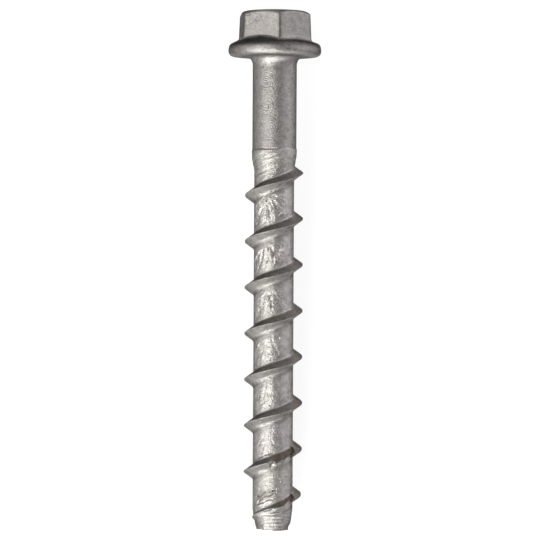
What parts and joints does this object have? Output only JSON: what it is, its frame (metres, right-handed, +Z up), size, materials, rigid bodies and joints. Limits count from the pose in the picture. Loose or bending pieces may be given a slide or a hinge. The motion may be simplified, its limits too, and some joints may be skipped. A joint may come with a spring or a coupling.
{
  "type": "concrete screw",
  "caption": "Heavy-duty concrete screw with a flanged hex head, a plain shank and a coarse toothed self-tapping thread.",
  "frame": {"origin": "centre of the screw's box, on the surface that it lies on", "axes": "+Z up from that surface, +Y from the tip towards the head, +X across the screw; the screw lies on its flange rim and two thread teeth, with its axis 2.75 degrees above +Y"},
  "size_m": [0.02, 0.1116, 0.02],
  "materials": {
    "zinc": "mechanically galvanised carbon steel, matte mottled grey zinc"
  },
  "bodies": {
    "root": {"concrete_screw": "zinc"}
  },
  "joints": []
}
